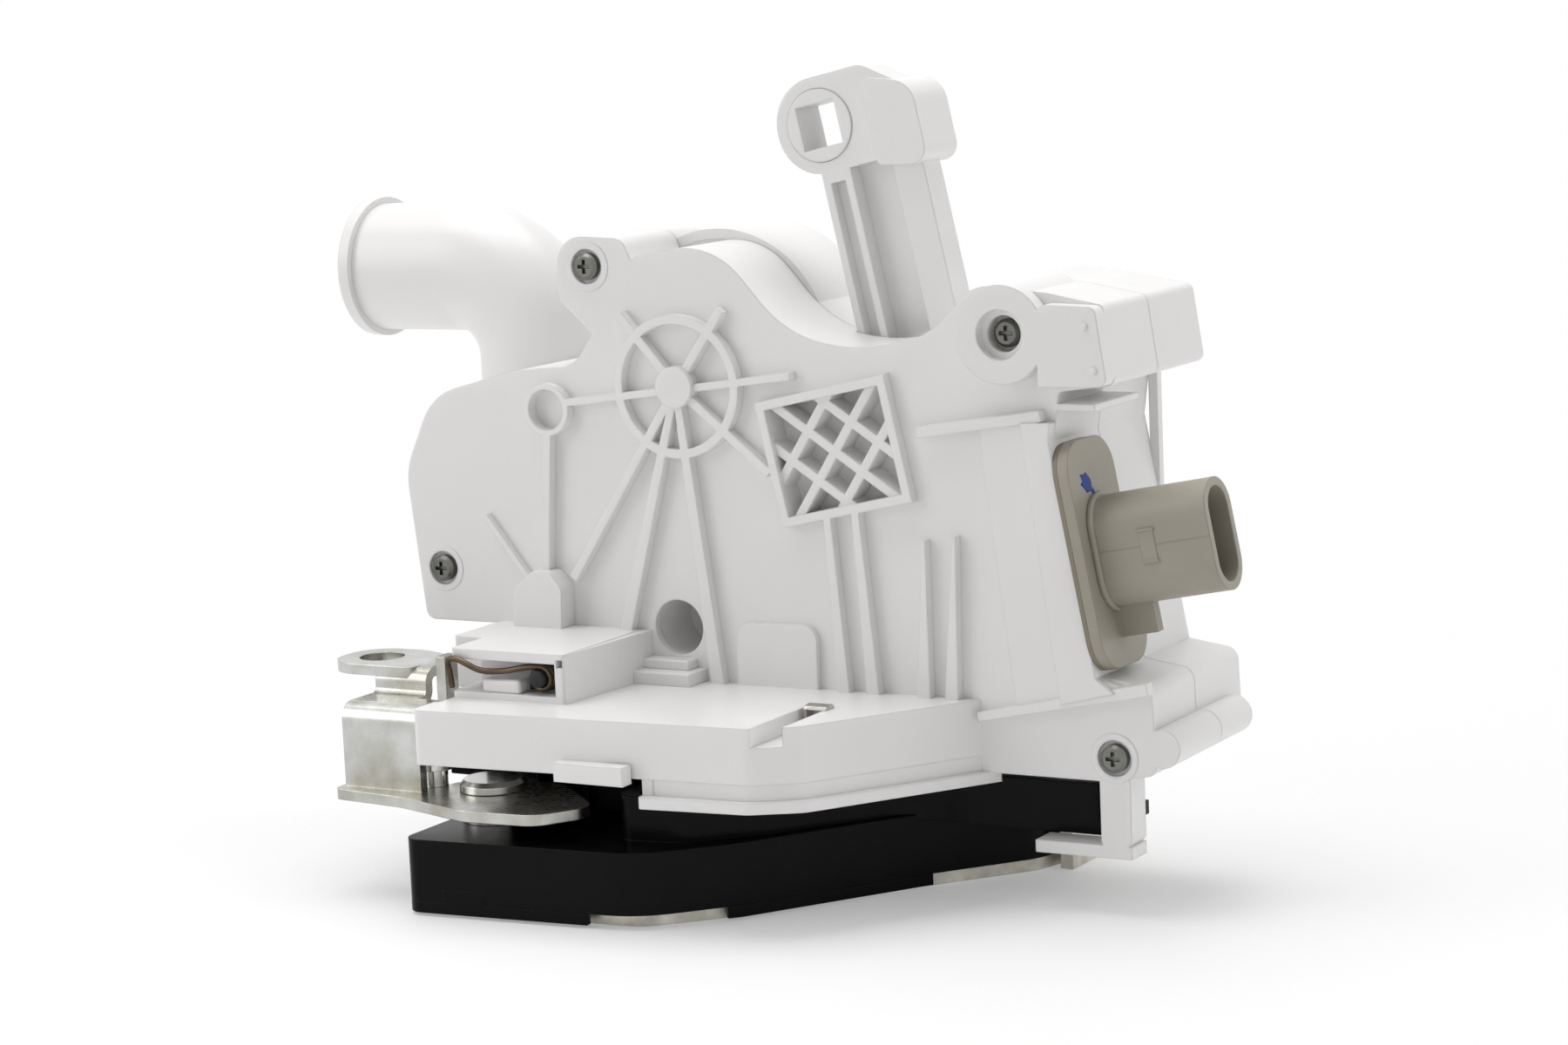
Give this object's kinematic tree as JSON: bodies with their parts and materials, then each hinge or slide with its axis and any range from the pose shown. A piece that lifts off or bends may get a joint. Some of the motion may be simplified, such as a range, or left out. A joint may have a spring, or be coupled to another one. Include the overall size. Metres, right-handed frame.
{
  "type": "car door lock",
  "caption": "Side-door latch with electric lock unit: steel plate, rotary claw and pawl, ribbed housing, plug socket, release lever, key coupler.",
  "frame": {"origin": "middle of the two tapped mounting holes, on the steel plate's outer face", "axes": "+Z from the plate into the lock unit, +X along the housing's front wall towards the plug, -Y towards the ribbed front wall's viewer; the striker comes in from +Y"},
  "size_m": [0.1927, 0.0877, 0.1475],
  "materials": {
    "zinc_steel": "zinc-plated sheet steel, satin",
    "hard_steel": "turned and riveted steel, bright",
    "white_pom": "white moulded plastic, slightly glossy",
    "black_plastic": "black moulded plastic, semi-gloss",
    "grey_plastic": "warm grey moulded plastic",
    "seal_rubber": "grey-brown soft seal",
    "black_rubber": "black rubber",
    "spring_wire": "dark bronze-toned spring wire",
    "screw_steel": "dark passivated screws",
    "contact_metal": "tinned contact metal",
    "gear_nylon": "natural nylon",
    "motor_steel": "drawn nickel-plated can"
  },
  "bodies": {
    "lock_body": {"base_plate": "zinc_steel", "claw_pin": "hard_steel", "pawl_pin": "hard_steel", "claw_spring": "spring_wire", "pawl_spring": "spring_wire", "back_plate": "zinc_steel", "latch_housing": "black_plastic", "striker_buffer": "black_rubber", "lever_rivet": "hard_steel", "lever_spring": "spring_wire", "front_cover": "white_pom", "cover_screws": "screw_steel", "rear_housing": "white_pom", "key_arm": "white_pom", "cable_guide": "white_pom", "connector_body": "grey_plastic", "connector_seal": "seal_rubber", "contact_pins": "contact_metal", "motor_can": "motor_steel", "motor_cap": "black_plastic", "wheel_buffers": "black_rubber", "wheel_axle": "hard_steel", "lock_lever_pin": "hard_steel", "inner_lever_pin": "hard_steel", "claw_switch": "black_plastic", "lock_switch": "black_plastic", "lead_frame": "black_plastic"},
    "claw": {"claw_core": "hard_steel", "claw_jacket": "black_plastic"},
    "pawl": {"pawl": "hard_steel"},
    "release_lever": {"release_lever": "zinc_steel", "lever_stud": "hard_steel"},
    "worm_wheel": {"worm_wheel": "gear_nylon"},
    "motor_shaft": {"motor_shaft": "hard_steel", "motor_worm": "gear_nylon"},
    "lock_lever": {"lock_lever": "gear_nylon"},
    "inner_lever": {"inner_lever": "gear_nylon"},
    "key_coupler": {"key_coupler": "white_pom"},
    "key_rod": {"key_rod": "hard_steel"}
  },
  "joints": [
    {"name": "claw_turn", "type": "hinge", "parent": "lock_body", "child": "claw", "pos_m": [-0.017, -0.026, 0.0046], "axis": [0, 0, -1], "range_deg": [0, 60], "stiffness_Nm_per_rad": 0.2},
    {"name": "pawl_turn", "type": "hinge", "parent": "lock_body", "child": "pawl", "pos_m": [-0.028, -0.0545, 0.0046], "axis": [0, 0, -1], "range_deg": [0, 12], "stiffness_Nm_per_rad": 0.1},
    {"name": "release_turn", "type": "hinge", "parent": "lock_body", "child": "release_lever", "pos_m": [-0.0523, -0.053, 0.0184], "axis": [0, 0, 1], "range_deg": [0, 15], "stiffness_Nm_per_rad": 0.3},
    {"name": "wheel_turn", "type": "hinge", "parent": "lock_body", "child": "worm_wheel", "pos_m": [-0.0223, -0.013, 0.0913], "axis": [0, 1, 0], "range_deg": [-40, 40]},
    {"name": "motor_turn", "type": "hinge", "parent": "lock_body", "child": "motor_shaft", "pos_m": [-0.0223, -0.013, 0.0727], "axis": [1, 0, 0], "range_deg": [-1200, 1200]},
    {"name": "lock_lever_turn", "type": "hinge", "parent": "lock_body", "child": "lock_lever", "pos_m": [-0.0506, -0.0186, 0.0865], "axis": [0, 1, 0], "range_deg": [-9.4, 9.4]},
    {"name": "inner_lever_turn", "type": "hinge", "parent": "lock_body", "child": "inner_lever", "pos_m": [-0.066, -0.0045, 0.072], "axis": [0, 1, 0], "range_deg": [0, 20], "stiffness_Nm_per_rad": 0.05},
    {"name": "key_turn", "type": "hinge", "parent": "lock_body", "child": "key_coupler", "pos_m": [0.00002, -0.011, 0.13702], "axis": [0, 1, 0], "range_deg": [-25, 25]},
    {"name": "key_rod_slide", "type": "slide", "parent": "lock_body", "child": "key_rod", "axis": [-0.2079, 0, 0.9781], "range_m": [-0.003, 0.003], "stiffness_N_per_m": 60}
  ],
  "couplings": [
    {"joint": "motor_turn", "follows": "wheel_turn", "ratio": 30},
    {"joint": "lock_lever_turn", "follows": "wheel_turn", "ratio": -0.235},
    {"joint": "key_turn", "follows": "key_rod_slide", "rad_per_m": -142.86}
  ]
}
